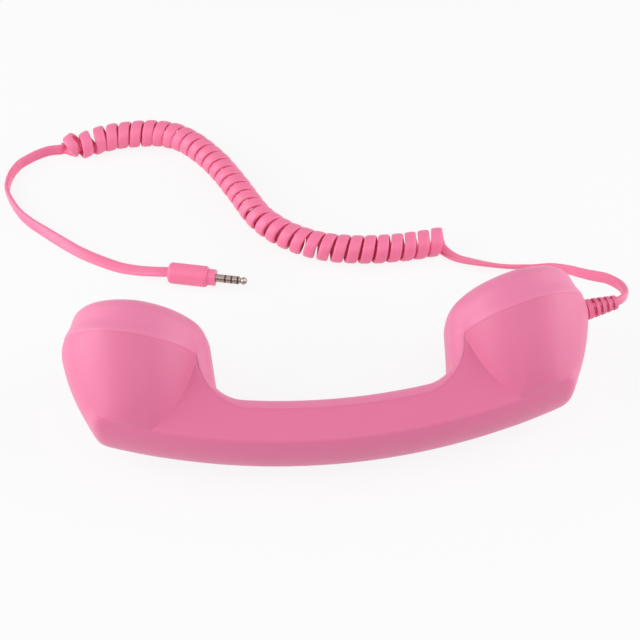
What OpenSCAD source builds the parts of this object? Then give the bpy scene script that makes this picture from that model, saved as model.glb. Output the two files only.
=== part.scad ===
// Retro telephone handset with a curly cord and a four-pole 3.5 mm jack plug.
// Units are millimetres. +Z is up; the handset lies on its side on z = 0.
// The handset is described in its own axes: x along its length, y from the
// handle's back to the cup faces, z across its width. laid() tips it on its side.

/* [Handset] */
// Distance between the axes of the two bowls
bowl_pitch = 151.4; // [142:0.2:160]
// Half width of the handle across its flat sides
handle_half = 13.5; // [12:0.1:16]
// Wall thickness of the bowls and the handle
wall = 2.0; // [1.6:0.1:2.4]
// Lean of the seam between bowl and cap
seam_lean = 13.7; // [8:0.1:18]
// Lean of the caps toward each other
cap_lean = 11; // [6:0.5:16]
// Height of a cap's face above the seam
cap_height = 15.3; // [14:0.1:18]
// Radius of a cap at the seam
cap_radius = 28.2; // [26.5:0.1:29]
// Radius of the rounded edge of a cap's face
cap_edge = 6; // [4:0.5:8]
// Tilt of the handset as it lies on its side
lie_tilt = 19; // [17:0.5:21]

/* [Listening and speaking] */
// Radius of the sound holes
sound_hole = 1.1; // [0.8:0.1:1.4]
// Radius of the earphone driver's rim
driver_rim = 19.5; // [18:0.1:20]
// Radius of the microphone capsule
mic_radius = 4.85; // [4:0.05:5.5]

/* [Answer button] */
// Radius of the button
button_radius = 6; // [5:0.1:6.5]
// Gap between the button and its hole
button_gap = 0.06; // [0.04:0.01:0.1]
// Travel of the button
button_travel = 0.8; // [0.5:0.1:0.8]

/* [Cord] */
// Outer radius of the coiled length
coil_radius = 6.4; // [6:0.1:7]
// Width of the flat cord
cord_width = 4.6; // [4.2:0.1:5]
// Thickness of the flat cord
cord_thick = 2.1; // [1.8:0.1:2.4]

/* [Plug] */
// Radius of the jack's metal shank
jack_radius = 1.75; // [1.7:0.01:1.8]
// Radius of the moulded plug body
plug_radius = 4.7; // [4.3:0.1:5]

/* [Hidden] */
$fn = 96;
half_pitch = bowl_pitch / 2;
arc_y = 255;            // centre of the handle's long curves
split_r = 253.5;        // long curve of the parting line
edge_r = 265.4;         // long curve of the edge between side and back
crown_r = 17.2;         // roundness of the back across its width
crown_c = edge_r - sqrt(crown_r * crown_r - handle_half * handle_half);
neck_x = half_pitch - cap_radius - 14.5; // centre of the curve between handle and cup
neck_y = arc_y - sqrt(pow(split_r - 17.7, 2) - neck_x * neck_x);
neck_r = 17.7;
split_u = neck_x + neck_r;
neck_a = asin(neck_x / (split_r - neck_r));
seam_x = half_pitch + 1.1;
seam_y = 32.2;
cap_x = half_pitch - 0.3;
cap_in = cap_height - 3;
bowl_r = 80.4;
bowl_c = 29.5 - bowl_r;
ear_x = cap_radius - 5.1;        // the clamp's screws round the driver
screw_x = 30;                    // closing screws in the handle's inner face
post_low = arc_y - sqrt(pow(crown_c + crown_r - 0.9, 2) - screw_x * screw_x);
weight_x = 19;                   // the ballast's screws
weight_half = handle_half - 6.5;
weight_low = arc_y + 0.1 - sqrt(pow(crown_c + sqrt(pow(crown_r - wall, 2) - weight_half * weight_half), 2) - 625);
lie_y = -17.93;
lie_z = 17.58;
relief_lean = 10;

// route points of the cord's straight lengths and of the coil
exit_pts = [[86, 2.67, 24.6], [91, 5.27, 25.5], [95.5, 10.47, 27.3], [99.5, 15.27, 29], [104, 16.47, 29.4],
    [110, 17.57, 29.8], [116.5, 18.57, 30.1], [120.9, 21, 29.5], [123.9, 25.8, 26.8], [124.3, 33, 23.5], [121.5, 39.9, 20.3],
    [118.9, 44.4, 17.1], [116.2, 48.6, 14], [113.4, 53.1, 11], [110.6, 57.6, 8], [104, 63.9, 3.8], [95.5, 65.8, 2.3],
    [86.8, 67.2, 2.2], [78.2, 69.6, 2.2], [69.8, 72.6, 2.2], [64, 76.1, 2.9], [59.5, 80.1, 4.6]];
coil_pts = [[-108, 163.7], [-101, 164.1], [-95, 166.7], [-85.5, 168.7], [-75.5, 169.1], [-66, 168.3], [-56, 164.1],
    [-47, 155.3], [-38, 141.9], [-29.6, 124.5], [-21.6, 106.5], [-13.2, 96.1], [-4.6, 89.5], [4, 85.1], [13, 82.3],
    [26, 80.3], [39, 80.1], [48, 80.7], [56, 81.7], [62, 82.5]];
lead_pts = [[-106.5, 163.5, 2.4], [-110.5, 164.9, 2.4], [-115, 165.7, 2.4], [-119.5, 165.5, 2.4], [-124.5, 163.5, 2.4],
    [-129, 160.7, 2.4], [-133.6, 156.7, 2.4], [-137, 149.9, 2.4], [-138.3, 141.7, 2.4], [-136.6, 134.3, 2.4],
    [-131.8, 124.3, 2.3], [-126.4, 117.3, 2], [-121, 112.1, 1.7], [-112.4, 104.3, 1.3], [-103.4, 96.7, 1.2],
    [-94.4, 90.7, 1.2], [-85.4, 85.7, 1.4], [-76.6, 82, 2.4], [-69.5, 79.3, 3.9], [-64.5, 77.9, 4.6], [-60.5, 76.9, 4.7]];

// thin wires inside the handset, in the handset's own axes
ear_wire_pts = [[-14, -3.3, 4], [-20, -2.6, 5], [-30, -1.4, 5], [-42, 1.6, 4], [-54, 6.5, 3], [-64, 14, 3],
    [-71, 24, 8], [-74, 31.4, 11.6]];
mic_wire_pts = [[83, 22.6, 2.6], [81, 26, 3], [78, 30, 2.4], [75, 34, 1.6], [73.8, 37.2, 1.2]];
button_wire_pts = [[14, -3.3, -4], [20, -2.6, -5], [30, -1.4, -5], [42, 1.6, -4], [56, 7, -3], [68, 14.6, -3],
    [78, 20, -2.6], [84, 22.4, -2.2]];

// ---- frames ----
module laid() translate([0, lie_y, lie_z]) rotate([lie_tilt, 0, 0]) children();
module seam_at(s) translate([s * seam_x, seam_y, 0]) rotate([0, 0, s * seam_lean]) children();
module cap_at(s) translate([s * cap_x, seam_y, 0]) rotate([0, 0, s * cap_lean]) children();
module up_y() rotate([-90, 0, 0]) children();
module plug_at() translate([-63.5, 77.4, plug_radius]) rotate([0, 0, -14.6]) rotate([0, 90, 0]) children();

// ---- swept cords ----
function vsub(a, b) = [a[0] - b[0], a[1] - b[1], a[2] - b[2]];
function unit(v) = v / norm(v);
function dirs(p) = [for (i = [0 : len(p) - 1]) unit(vsub(p[min(i + 1, len(p) - 1)], p[max(i - 1, 0)]))];
function catmull(a, b, c, d, t) = 0.5 * ((2 * b) + (c - a) * t + (2 * a - 5 * b + 4 * c - d) * t * t
    + (3 * b - a - 3 * c + d) * t * t * t);
function fine(p, n) = [for (i = [0 : len(p) - 2]) for (k = [0 : n - 1])
    catmull(p[max(i - 1, 0)], p[i], p[i + 1], p[min(i + 2, len(p) - 1)], k / n), p[len(p) - 1]];
// a ring of n points, width across the ground and thickness upright
function ring(c, d, w, t, n) = let (s = unit([d[1], -d[0], 0]), u = unit(cross(s, d)))
    [for (k = [0 : n - 1]) let (a = 360 * k / n + 180 / n) c + s * (w / 2 * cos(a)) + u * (t / 2 * sin(a))];
module tube(p, w, t, n) {
    d = dirs(p);
    pts = [for (i = [0 : len(p) - 1]) each ring(p[i], d[i], w, t, n)];
    m = len(p);
    side = [for (i = [0 : m - 2]) for (k = [0 : n - 1]) each [
        [i * n + k, i * n + (k + 1) % n, (i + 1) * n + (k + 1) % n],
        [i * n + k, (i + 1) * n + (k + 1) % n, (i + 1) * n + k]]];
    polyhedron(points = pts, faces = concat([[for (k = [n - 1 : -1 : 0]) k]], side,
        [[for (k = [0 : n - 1]) (m - 1) * n + k]]));
}

// ---- outside form ----
module arc_body(span) translate([0, arc_y, 0]) rotate([0, 0, -90 - span / 2]) rotate_extrude(angle = span, $fn = 360) children();
module plan(len_h, half, r) up_y() translate([0, 0, -40]) linear_extrude(110) {
    square([2 * len_h - 2 * r, 2 * half], center = true);
    square([2 * len_h, 2 * half - 2 * r], center = true);
    for (a = [-1, 1], b = [-1, 1]) translate([a * (len_h - r), b * (half - r)]) circle(r);
}
module back_section() {
    polygon([[split_r, handle_half], [edge_r, handle_half], [edge_r, -handle_half], [split_r, -handle_half]]);
    intersection() {
        translate([crown_c, 0]) circle(crown_r);
        translate([edge_r, -20]) square([12, 40]);
    }
}
// the band between the parting line and the handle's inner face; x grows toward the parting line at x = 0
module band_section(in = 0) polygon([[in - 5.2, 7 - in], [in - 3.9, handle_half - 2.7 - in], [-in, handle_half - in],
    [-in, in - handle_half], [in - 3.9, 2.7 + in - handle_half], [in - 5.2, in - 7]]);
module back_bar() intersection() {
    arc_body(44) back_section();
    plan(half_pitch + 14.9, handle_half + 0.5, 3.5);
}
module wedge(s, h, k) translate([s * half_pitch, 0.6, 0]) rotate([0, 0, s * 16.9]) rotate([90, 0, 90])
    linear_extrude(150, center = true)
        polygon([[-8, h - 8 * k], [60, h + 60 * k], [60, -h - 60 * k], [-8, 8 * k - h]]);
module bowl_form(s, r, low, h, cut_r) intersection() {
    translate([s * half_pitch, 0, 0]) up_y() rotate_extrude($fn = 180) intersection() {
        translate([bowl_c, 45]) circle(r, $fn = 360);
        translate([0, low]) square([r - bowl_r + 28.8, 48 - low]);
    }
    wedge(s, h, 0.62);
    translate([0, arc_y, 0]) cylinder(r = cut_r, h = 90, center = true, $fn = 720);
}
module below_seam(s, d) seam_at(s) translate([-60, -80, -50]) cube([120, 80 + d, 100]);
module neck_plate(s) difference() {
    translate([s > 0 ? neck_x : -64, 3, -handle_half]) cube([64 - neck_x, 26, 2 * handle_half]);
    translate([s * neck_x, neck_y, 0]) cylinder(r = neck_r, h = 60, center = true);
    translate([s > 0 ? 0 : -split_u, neck_y, -40]) cube([split_u, 60, 80]);
    seam_at(s) translate([-60, 0, -50]) cube([120, 80, 100]);
}
module neck_band(s) {
    translate([s * neck_x, neck_y, 0]) rotate([0, 0, s > 0 ? neck_a - 90 : 180]) rotate_extrude(angle = 90 - neck_a)
        translate([neck_r, 0]) band_section();
    intersection() {
        translate([s > 0 ? split_u : -split_u, neck_y - 1, 0]) up_y() linear_extrude(31) {
            if (s > 0) band_section(0.12);
            else rotate([0, 0, 180]) band_section(0.12);
        }
        cap_at(s) translate([0, 0, -30]) linear_extrude(60)
            polygon([[0, -16], [-s * 32, -16], [-s * 32, 6.5], [-s * 25.5, 13], [0, 13]]);
    }
}
module cap_profile(grow, top, edge) {
    r = cap_radius + grow;
    translate([r - 1.5 - edge, top - edge]) circle(edge, $fn = 64);
    square([r - 1.5 - edge, top]);
    polygon([[0, -12], [r + 2, -12], [r - 1.5 + 0.01, top - edge], [0, top - edge]]);
}
module cap_form(s, grow, top, edge, low = -1.6) cap_at(s) up_y() rotate_extrude($fn = 180) intersection() {
    cap_profile(grow, top, edge);
    translate([0, low]) square([40, 40]);
}

module back_form() {
    back_bar();
    for (s = [-1, 1]) {
        intersection() { bowl_form(s, bowl_r, -1.5, handle_half, edge_r - 0.05); below_seam(s, -0.05); }
        neck_plate(s);
    }
}
module face_form() {
    arc_body(2 * neck_a + 0.6) translate([split_r, 0]) band_section(0.12);
    for (s = [-1, 1]) {
        neck_band(s);
        difference() { cap_form(s, 0, cap_height, cap_edge); below_seam(s, 0.05); }
    }
}

// ---- hollow inside ----
module hollow() {
    intersection() {
        arc_body(44) {
            polygon([[split_r - 2.8, 7.4], [split_r + 0.8, handle_half - wall], [edge_r - 0.8, handle_half - wall],
                [edge_r - 0.8, wall - handle_half], [split_r + 0.8, wall - handle_half], [split_r - 2.8, -7.4]]);
            intersection() {
                translate([crown_c, 0]) circle(crown_r - wall);
                translate([edge_r - 4, wall - handle_half]) square([12, 2 * (handle_half - wall)]);
            }
        }
        plan(half_pitch + 12.7, handle_half - wall + 0.5, 2);
    }
    for (s = [-1, 1]) {
        intersection() {
            bowl_form(s, bowl_r - wall, 1.5, handle_half - wall - 0.2, edge_r - wall - 0.3);
            below_seam(s, 0.6);
        }
        difference() {
            translate([s > 0 ? neck_x + 3 : -62, 4, wall - handle_half]) cube([59 - neck_x, 23, 2 * (handle_half - wall)]);
            translate([s * neck_x, neck_y, 0]) cylinder(r = neck_r + 1.2, h = 60, center = true);
            translate([s > 0 ? 0 : -split_u - 1.2, neck_y, -40]) cube([split_u + 1.2, 60, 80]);
        }
        difference() {
            translate([s > 0 ? neck_x + 2 : -62, 5, -8.2]) cube([60 - neck_x, 30, 16.4]);
            translate([s * neck_x, neck_y, 0]) cylinder(r = neck_r - 2.8, h = 60, center = true);
            translate([s > 0 ? 0 : 2.8 - split_u, neck_y, -40]) cube([split_u - 2.8, 60, 80]);
        }
        difference() {
            cap_form(s, -wall, cap_in, 3.5, -2);
            below_seam(s, -0.1);
        }
    }
}

// ---- shells ----
module y_cyl(x, y, z, r, h) translate([x, y, z]) up_y() cylinder(r = r, h = h, $fn = 40);
module relief_at() translate([half_pitch + 28.3, 36.4, 0]) rotate([0, 0, relief_lean]) rotate([0, 90, 0]) children();

module outer_shell() color([0.91, 0.46, 0.63]) laid() {
    difference() {
        union() {
            difference() {
                back_form();
                hollow();
            }
            // posts for the closing screws
            for (s = [-1, 1]) difference() {
                y_cyl(s * screw_x, post_low, 0, 3, 1.4 - post_low);
                y_cyl(s * screw_x, -12.6, 0, 1, 16);
            }
            // cradle and posts for the weight
            for (s = [-1, 1]) {
                translate([s * 14 - 1, weight_low - 2.6, -6]) cube([2, 2.6, 12]);
                difference() {
                    y_cyl(s * weight_x, weight_low - 3.5, 0, 2.4, 7.5);
                    y_cyl(s * weight_x, weight_low - 1.4, 0, 0.8, 8);
                }
            }
            // block that the cord is clamped on
            difference() {
                intersection() {
                    translate([81, -5.4, -8]) cube([10, 26, 16]);
                    translate([0, arc_y, 0]) cylinder(r = edge_r + 3.4, h = 40, center = true, $fn = 360);
                }
                for (b = [-1, 1]) y_cyl(87, 12.6, b * 5.6, 0.8, 9);
            }
        }
        relief_at() translate([0, 0, -6]) cylinder(r = 3.1, h = 12, $fn = 48);
    }
}

module inner_shell() color([0.93, 0.5, 0.66]) laid() difference() {
    union() {
        difference() {
            face_form();
            hollow();
        }
        // bosses for the closing screws
        for (s = [-1, 1]) y_cyl(s * screw_x, 1.4, 0, 4, 5.8);
        // guide and pillars behind the button
        difference() {
            y_cyl(0, 0.2, 0, button_radius + 2.8, 5.4);
            y_cyl(0, 0, 0, button_radius + 1.2, 4.1);
        }
        for (s = [-1, 1]) y_cyl(s * 12.5, -3.6, 0, 2.4, 9);
        // bosses for the driver's clamp
        cap_at(-1) for (a = [90, 210, 330]) rotate([0, a, 0]) y_cyl(ear_x, 9.5, 0, 1.5, 3.2);
        // collar round the microphone
        cap_at(1) difference() {
            y_cyl(0, 6, 0, 9.6, 7);
            y_cyl(0, 5, 0, 8, 9);
        }
    }
    // button hole
    y_cyl(0, 1, 0, button_radius + button_gap, 9);
    for (s = [-1, 1]) {
        y_cyl(s * screw_x, -1, 0, 1.15, 12);
        y_cyl(s * screw_x, 5.2, 0, 2.6, 6);
        y_cyl(s * 12.5, -5, 0, 0.8, 6.4);
    }
    cap_at(-1) {
        y_cyl(0, cap_height - 1, 0, 16, 3);
        y_cyl(0, cap_in - 2, 0, sound_hole, 8);
        for (a = [0 : 60 : 300]) rotate([0, a, 0]) y_cyl(4.6, cap_in - 2, 0, sound_hole, 8);
        for (a = [0 : 30 : 330]) rotate([0, a + 15, 0]) y_cyl(9.2, cap_in - 2, 0, sound_hole, 8);
        for (a = [90, 210, 330]) rotate([0, a, 0]) y_cyl(ear_x, 8, 0, 0.8, 4);
    }
    cap_at(1) {
        y_cyl(0, cap_height - 1, 0, 16, 3);
        y_cyl(0, cap_in - 2, 0, sound_hole, 8);
        for (a = [0 : 60 : 300]) rotate([0, a, 0]) y_cyl(4.6, cap_in - 2, 0, sound_hole, 8);
    }
}

// ---- answer button ----
module answer_button() color([0.95, 0.6, 0.73]) laid() {
    y_cyl(0, 3, 0, button_radius, 3.8 + button_travel);
    y_cyl(0, 2.8, 0, button_radius + 0.9, 1.2);
    y_cyl(0, button_travel - 1.3, 0, 1.6, 4.8 - button_travel);
}
module button_spring() color([0.7, 0.71, 0.73]) laid() difference() {
    y_cyl(0, -2, 0, 2.9, 4.8);
    y_cyl(0, -3, 0, 2.2, 8);
}
module switch_board() color([0.12, 0.42, 0.24]) laid() difference() {
    translate([-16, -4.8, -6.5]) cube([32, 1.2, 13]);
    for (s = [-1, 1]) y_cyl(s * 12.5, -6, 0, 1, 4);
}
module tact_switch() color([0.13, 0.13, 0.14]) laid() {
    translate([-3, -3.6, -3]) cube([6, 1.6, 6]);
    y_cyl(0, -2.2, 0, 1.4, 0.8);
}
module screw(x, y, z, r, len_s, head_r, head_h) {
    // head below, thread upward
    y_cyl(x, y - head_h, z, head_r, head_h);
    y_cyl(x, y - 0.2, z, r, len_s + 0.2);
}
module board_screws() color([0.72, 0.73, 0.75]) laid()
    for (s = [-1, 1]) screw(s * 12.5, -4.8, 0, 0.8, 5.6, 1.9, 1.3);

// ---- ballast ----
module handle_weight() color([0.5, 0.51, 0.53]) laid() difference() {
    translate([-25, weight_low, -weight_half]) cube([50, 4, 2 * weight_half]);
    for (s = [-1, 1]) y_cyl(s * weight_x, weight_low - 1, 0, 2.6, 7);
}
module weight_screws() color([0.72, 0.73, 0.75]) laid() for (s = [-1, 1]) {
    y_cyl(s * weight_x, weight_low + 4, 0, 3.4, 1.4);
    y_cyl(s * weight_x, weight_low - 0.6, 0, 0.8, 4.8);
}

// ---- closing screws ----
module shell_screws() color([0.72, 0.73, 0.75]) laid() for (s = [-1, 1]) {
    y_cyl(s * screw_x, 5.2, 0, 2.3, 1.5);
    y_cyl(s * screw_x, -8, 0, 1, 13.4);
}
module screw_plugs() color([0.95, 0.55, 0.7]) laid() for (s = [-1, 1])
    y_cyl(s * screw_x, 6.7, 0, 2.6, 1.5);

// ---- earphone ----
module ear_screen() color([0.16, 0.15, 0.16]) laid() cap_at(-1) y_cyl(0, cap_in - 0.3, 0, 15, 0.3);
module speaker_gasket() color([0.2, 0.2, 0.21]) laid() cap_at(-1) difference() {
    y_cyl(0, cap_in - 1.3, 0, driver_rim, 1.3);
    y_cyl(0, cap_in - 2, 0, 15.4, 3);
}
module speaker_frame() color([0.22, 0.23, 0.25]) laid() cap_at(-1) difference() {
    union() {
        y_cyl(0, 9.5, 0, driver_rim, 1.5);
        y_cyl(0, 4, 0, 16, 5.6);
    }
    y_cyl(0, 10, 0, 17, 3);
    y_cyl(0, 5.5, 0, 14.6, 6);
    y_cyl(0, 3, 0, 6, 4);
    for (a = [45 : 90 : 315]) rotate([0, a, 0]) y_cyl(10.6, 3, 0, 2, 4);
}
module speaker_cone() color([0.33, 0.3, 0.27]) laid() cap_at(-1) up_y() rotate_extrude()
    polygon([[0, 9.4], [5, 8.7], [6, 7.4], [14.2, 9.6], [15.4, 10.2], [16.9, 10], [16.9, 10.5], [15.3, 10.7],
        [13.9, 10.1], [6.4, 8.1], [5.4, 9.2], [0, 9.9]]);
module speaker_magnet() color([0.6, 0.61, 0.63]) laid() cap_at(-1) {
    y_cyl(0, -2, 0, 9, 6);
    y_cyl(0, 3.9, 0, 5.9, 2);
}
module speaker_clamp() color([0.75, 0.76, 0.78]) laid() cap_at(-1) difference() {
    union() {
        y_cyl(0, 8, 0, ear_x - 0.9, 1.5);
        for (a = [90, 210, 330]) rotate([0, a, 0]) y_cyl(ear_x, 8, 0, 1.5, 1.5);
    }
    y_cyl(0, 7, 0, 16.2, 4);
    for (a = [90, 210, 330]) rotate([0, a, 0]) y_cyl(ear_x, 7, 0, 1, 4);
}
module speaker_screws() color([0.72, 0.73, 0.75]) laid() cap_at(-1) for (a = [90, 210, 330]) rotate([0, a, 0])
    screw(ear_x, 8, 0, 0.8, 3.8, 1.45, 1.2);

// ---- microphone ----
module mouth_screen() color([0.16, 0.15, 0.16]) laid() cap_at(1) y_cyl(0, cap_in - 0.3, 0, 7.9, 0.3);
module mic_boot() color([0.18, 0.18, 0.19]) laid() cap_at(1) difference() {
    y_cyl(0, 4.4, 0, 8, 7.6);
    y_cyl(0, 5.6, 0, mic_radius, 5.4);
    y_cyl(0, 10, 0, 3.2, 3);
    y_cyl(0, 4, 0, 2.6, 3);
}
module microphone() color([0.7, 0.71, 0.72]) laid() cap_at(1) y_cyl(0, 5.6, 0, mic_radius, 5.4);

// ---- wires ----
module ear_wires() color([0.75, 0.14, 0.12]) laid() tube(ear_wire_pts, 1.6, 1.2, 8);
module mic_wires() color([0.15, 0.3, 0.65]) laid() tube(mic_wire_pts, 1.6, 1.2, 8);
module button_wires() color([0.12, 0.12, 0.13]) laid() tube(button_wire_pts, 1.6, 1.2, 8);

// ---- cord exit ----
module cord_clamp() color([0.75, 0.76, 0.78]) laid() difference() {
    translate([84.4, 22.9, -8]) cube([5.2, 1.2, 16]);
    for (b = [-1, 1]) y_cyl(87, 22, b * 5.6, 1, 4);
}
module clamp_screws() color([0.72, 0.73, 0.75]) laid() for (b = [-1, 1]) {
    y_cyl(87, 24.1, b * 5.6, 1.9, 1.3);
    y_cyl(87, 14.4, b * 5.6, 0.8, 9.9);
}
module strain_relief() color([0.94, 0.46, 0.62]) laid() relief_at() difference() {
    union() {
        translate([0, 0, -4.6]) cylinder(r = 4.6, h = 1.8, $fn = 64);
        translate([0, 0, -3]) cylinder(r = 3.1, h = 4, $fn = 64);
        translate([0, 0, 0.4]) cylinder(r1 = 4.2, r2 = 4.05, h = 2.2, $fn = 64);
        translate([0, 0, 2.5]) cylinder(r1 = 2.5, r2 = 2, h = 11, $fn = 48);
        for (k = [0 : 3]) translate([0, 0, 4 + k * 2.65]) cylinder(r1 = 3.95 - k * 0.3, r2 = 3.75 - k * 0.3, h = 1.45, $fn = 64);
        for (k = [0 : 3]) translate([0, 0, 2.4 + k * 2.65]) for (a = [0, 90]) rotate([0, 0, a])
            translate([-3.5 + k * 0.3, -0.9, 0]) cube([7 - k * 0.6, 1.8, 1.8]);
    }
    translate([0, 0, -6]) cylinder(r = 1.2, h = 30, $fn = 32);
}

// ---- cord ----
module exit_lead() color([0.97, 0.48, 0.64]) tube(exit_pts, 2.4, 4.2, 8);
module cord_coil() color([0.97, 0.5, 0.66])
    tube([for (p = coil_pts) [p[0], p[1], coil_radius]], 2 * coil_radius, 2 * coil_radius, 14);
module plug_lead() color([0.97, 0.48, 0.64]) tube(lead_pts, cord_width, cord_thick, 8);

// ---- jack plug ----
module plug_body() color([0.97, 0.5, 0.66]) plug_at() rotate_extrude($fn = 72) {
    translate([0, 0]) square([plug_radius - 1.6, 17.8]);
    translate([0, 1.6]) square([plug_radius, 14.8]);
    for (h = [1.6, 16.2]) translate([plug_radius - 1.6, h]) circle(1.6, $fn = 40);
}
module plug_collar() color([0.97, 0.5, 0.66]) plug_at() translate([0, 0, 17.8]) cylinder(r = 3.6, h = 3.2, $fn = 64);
module jack_sleeve() color([0.78, 0.76, 0.72]) plug_at() translate([0, 0, 21]) cylinder(r = jack_radius, h = 4.1, $fn = 48);
module jack_ring_2() color([0.78, 0.76, 0.72]) plug_at() translate([0, 0, 25.8]) cylinder(r = jack_radius, h = 2.1, $fn = 48);
module jack_ring_1() color([0.78, 0.76, 0.72]) plug_at() translate([0, 0, 28.6]) cylinder(r = jack_radius, h = 2.1, $fn = 48);
module jack_tip() color([0.78, 0.76, 0.72]) plug_at() translate([0, 0, 31.4]) rotate_extrude($fn = 48)
    polygon([[0, 0], [1.5, 0], [1.1, 0.9], [1.7, 1.9], [1.6, 2.5], [1.1, 3.3], [0.5, 3.6], [0, 3.6]]);
module jack_insulators() color([0.1, 0.09, 0.08]) plug_at() for (h = [25.1, 27.9, 30.7])
    translate([0, 0, h]) cylinder(r = jack_radius, h = 0.7, $fn = 48);

outer_shell();
inner_shell();
answer_button();
button_spring();
switch_board();
tact_switch();
board_screws();
handle_weight();
weight_screws();
shell_screws();
screw_plugs();
ear_screen();
speaker_gasket();
speaker_frame();
speaker_cone();
speaker_magnet();
speaker_clamp();
speaker_screws();
mouth_screen();
mic_boot();
microphone();
ear_wires();
mic_wires();
button_wires();
cord_clamp();
clamp_screws();
strain_relief();
exit_lead();
cord_coil();
plug_lead();
plug_body();
plug_collar();
jack_sleeve();
jack_ring_2();
jack_ring_1();
jack_tip();
jack_insulators();
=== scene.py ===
"""Retro telephone handset with a curly flat cord and a four-pole jack plug.

The handset is shaped in its own directions, in mm: u runs along it toward the mouthpiece, v out of the cups'
faces and w across it. row() tilts it about its length and lays it on the floor. Both its ends have one form,
so the forms take u and w as distances from the middle. The cord is shaped where it lies, in mm.
"""
import itertools
import math

import bmesh
import bpy
import numpy as np
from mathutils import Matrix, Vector


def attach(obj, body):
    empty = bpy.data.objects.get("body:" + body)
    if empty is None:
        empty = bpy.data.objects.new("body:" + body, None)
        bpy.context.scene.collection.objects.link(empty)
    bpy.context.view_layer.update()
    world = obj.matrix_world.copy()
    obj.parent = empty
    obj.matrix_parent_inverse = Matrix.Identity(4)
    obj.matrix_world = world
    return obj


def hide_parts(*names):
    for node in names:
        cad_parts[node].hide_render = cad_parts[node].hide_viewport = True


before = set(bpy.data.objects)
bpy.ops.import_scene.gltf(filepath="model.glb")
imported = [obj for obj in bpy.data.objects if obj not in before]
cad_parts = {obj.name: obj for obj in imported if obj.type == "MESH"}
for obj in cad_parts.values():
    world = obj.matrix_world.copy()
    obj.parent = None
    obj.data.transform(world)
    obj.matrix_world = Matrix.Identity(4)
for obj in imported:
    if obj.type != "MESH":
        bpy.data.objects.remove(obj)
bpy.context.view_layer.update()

# ---------------------------------------------------------------- sizes (mm and degrees)
# How the handset lies: its tilt, and where its own origin comes to.
TILT, LIE_Y, LIE_Z = 19.0, -17.93, 17.58

# The handle. Its arcs share a centre at v = ARC_V: INNER_R is the inner contour, CROWN_ARC the middle line of
# the round back, UNDER_R where the bowls' undersides end and ROOM_R where the room in the back shell ends.
HALF_WIDTH, ARC_V = 13.5, 255.0
INNER_R, CROWN_ARC, UNDER_R, ROOM_R = 248.3, 252.74, 266.3, 266.4
CROWN_R = 19.2
# Where the inner contour turns up into the necks, and where the parting line does.
NECK_U, NECK_V, NECK_SLOPE, NECK_BEND_U, NECK_BEND_R = 45.4, 18, 0.08, 49.0, 13.0
PART_U, PART_V, PART_SLOPE, PART_BEND_R, PART_DEEP = 51.4, 21.5, 0.04, 12.5, 5.3
# The slopes of the band between the two: the width and depth that each passes, its normal and its blend.
BAND_DEEP, BAND_LEAST = 5.2, 2.5
BAND_SLOPES = (((7, 0), (1.3, 3.8), 2.2), ((10.8, -1.3), (3.9, 2.7), 2.0))
SIDE_BLEND, BAND_BLEND, END_BLEND, CREASE_BLEND = 0.8, 0.9, 1.6, 0.25

# The bowls. Their side is an arc of BOWL_R about a centre at v = BOWL_V, which lies past the bowl's axis. Its
# lower flank is drawn in a little near FLANK_U.
BOWL_U, BOWL_V, BOWL_R, BOWL_PAST = 75.3, 45, 80.4, 50.85
FLANK_IN, FLANK_V, FLANK_U, FLANK_HALF = 0.08, 8, 79, 8
# The handle's ends have the same arc. Low down they are fuller than a half circle and reach out a little.
END_U, END_PAST, END_OUT, END_OUT_V = 75.7, 51.2, 0.6, 8
END_FULL, END_FULL_LESS, END_FULL_V = 0.74, 0.3, (2, 11)
# How far bowls and ends draw in below the seam, over which stretch of u and how deep.
RIM_DROP, RIM_U, RIM_DEEP = 1.4, (86, 102), 7.5

# The caps. Their axis leans inward, h counts along it from the middle of the cup, and their side is a cone.
CAP_U, CUP_V, CAP_LEAN, CAP_TOP = 75.4, 32.2, 11.0, 15.3
CAP_R, CAP_TAPER = 28.23, 0.1643
CAP_EDGE_R, CAP_EDGE_MORE, CAP_EDGE_RUN = 5, 4.5, 28
CAP_BELOW_SEAM = 13
# Where a cap flares out to the bowl: over which part of the way round, and how far above the seam.
FLARE, FLARE_HIGH = (-0.97, -0.87), 5.5
# Where the necks end inside the caps.
STOP_SLANT, STOP_H, STOP_TOP_H, STOP_U = 34.5, 11.5, 2, 66
NECK_BLEND, NECK_BLEND_MORE, NECK_BLEND_HIGH = 0.5, 3, 8
STOP_BLEND, STOP_TOP_BLEND = 2, 3
# The seam between bowl and cap. The back's forms run on past it, and its limits trim them.
SEAM_U, SEAM_LEAN, PAST_SEAM, SEAM_BLEND = 76.8, 13.7, 1, 0.5
# Half of the fine gap along the seam, and how much wider it gets up the parting line, over which stretch of v.
GAP, GAP_MORE, GAP_V = 0.03, 0.04, (9, 19)

# The holes in the face shell and the room in the back shell, and what fills them.
RECESS_R, RECESS_FLOOR = 16.1, 11.9
BUTTON_R, BUTTON_FREE, BUTTON_FLOOR = 6.0, 0.1, -5.6
FLANGE_ROOM_R, FLANGE_ROOM_TOP = 9.0, 4.2
PLUG_U, PLUG_HOLE_R, PLUG_FLOOR = 30, 2.64, 4.0
ROOM_U, ROOM_W = 26, 9.5
GRILLE_THICK, GRILLE_SUNK, SOUND_HOLE_R, RIM_R = 2.0, 1, 1.1, 0.25
HOLE_RING_R, OUTER_HOLE_RING_R = 4.6, 9.2

# The cord: its flat section, and the outer radius and turns of its coil.
CORD_W, CORD_T = 5.1, 2.1
COIL_R, TURNS = 6.4, 35

UP = np.array([0, 0, 1.0])
TILT_COS, TILT_SIN = math.cos(math.radians(TILT)), math.sin(math.radians(TILT))


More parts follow.
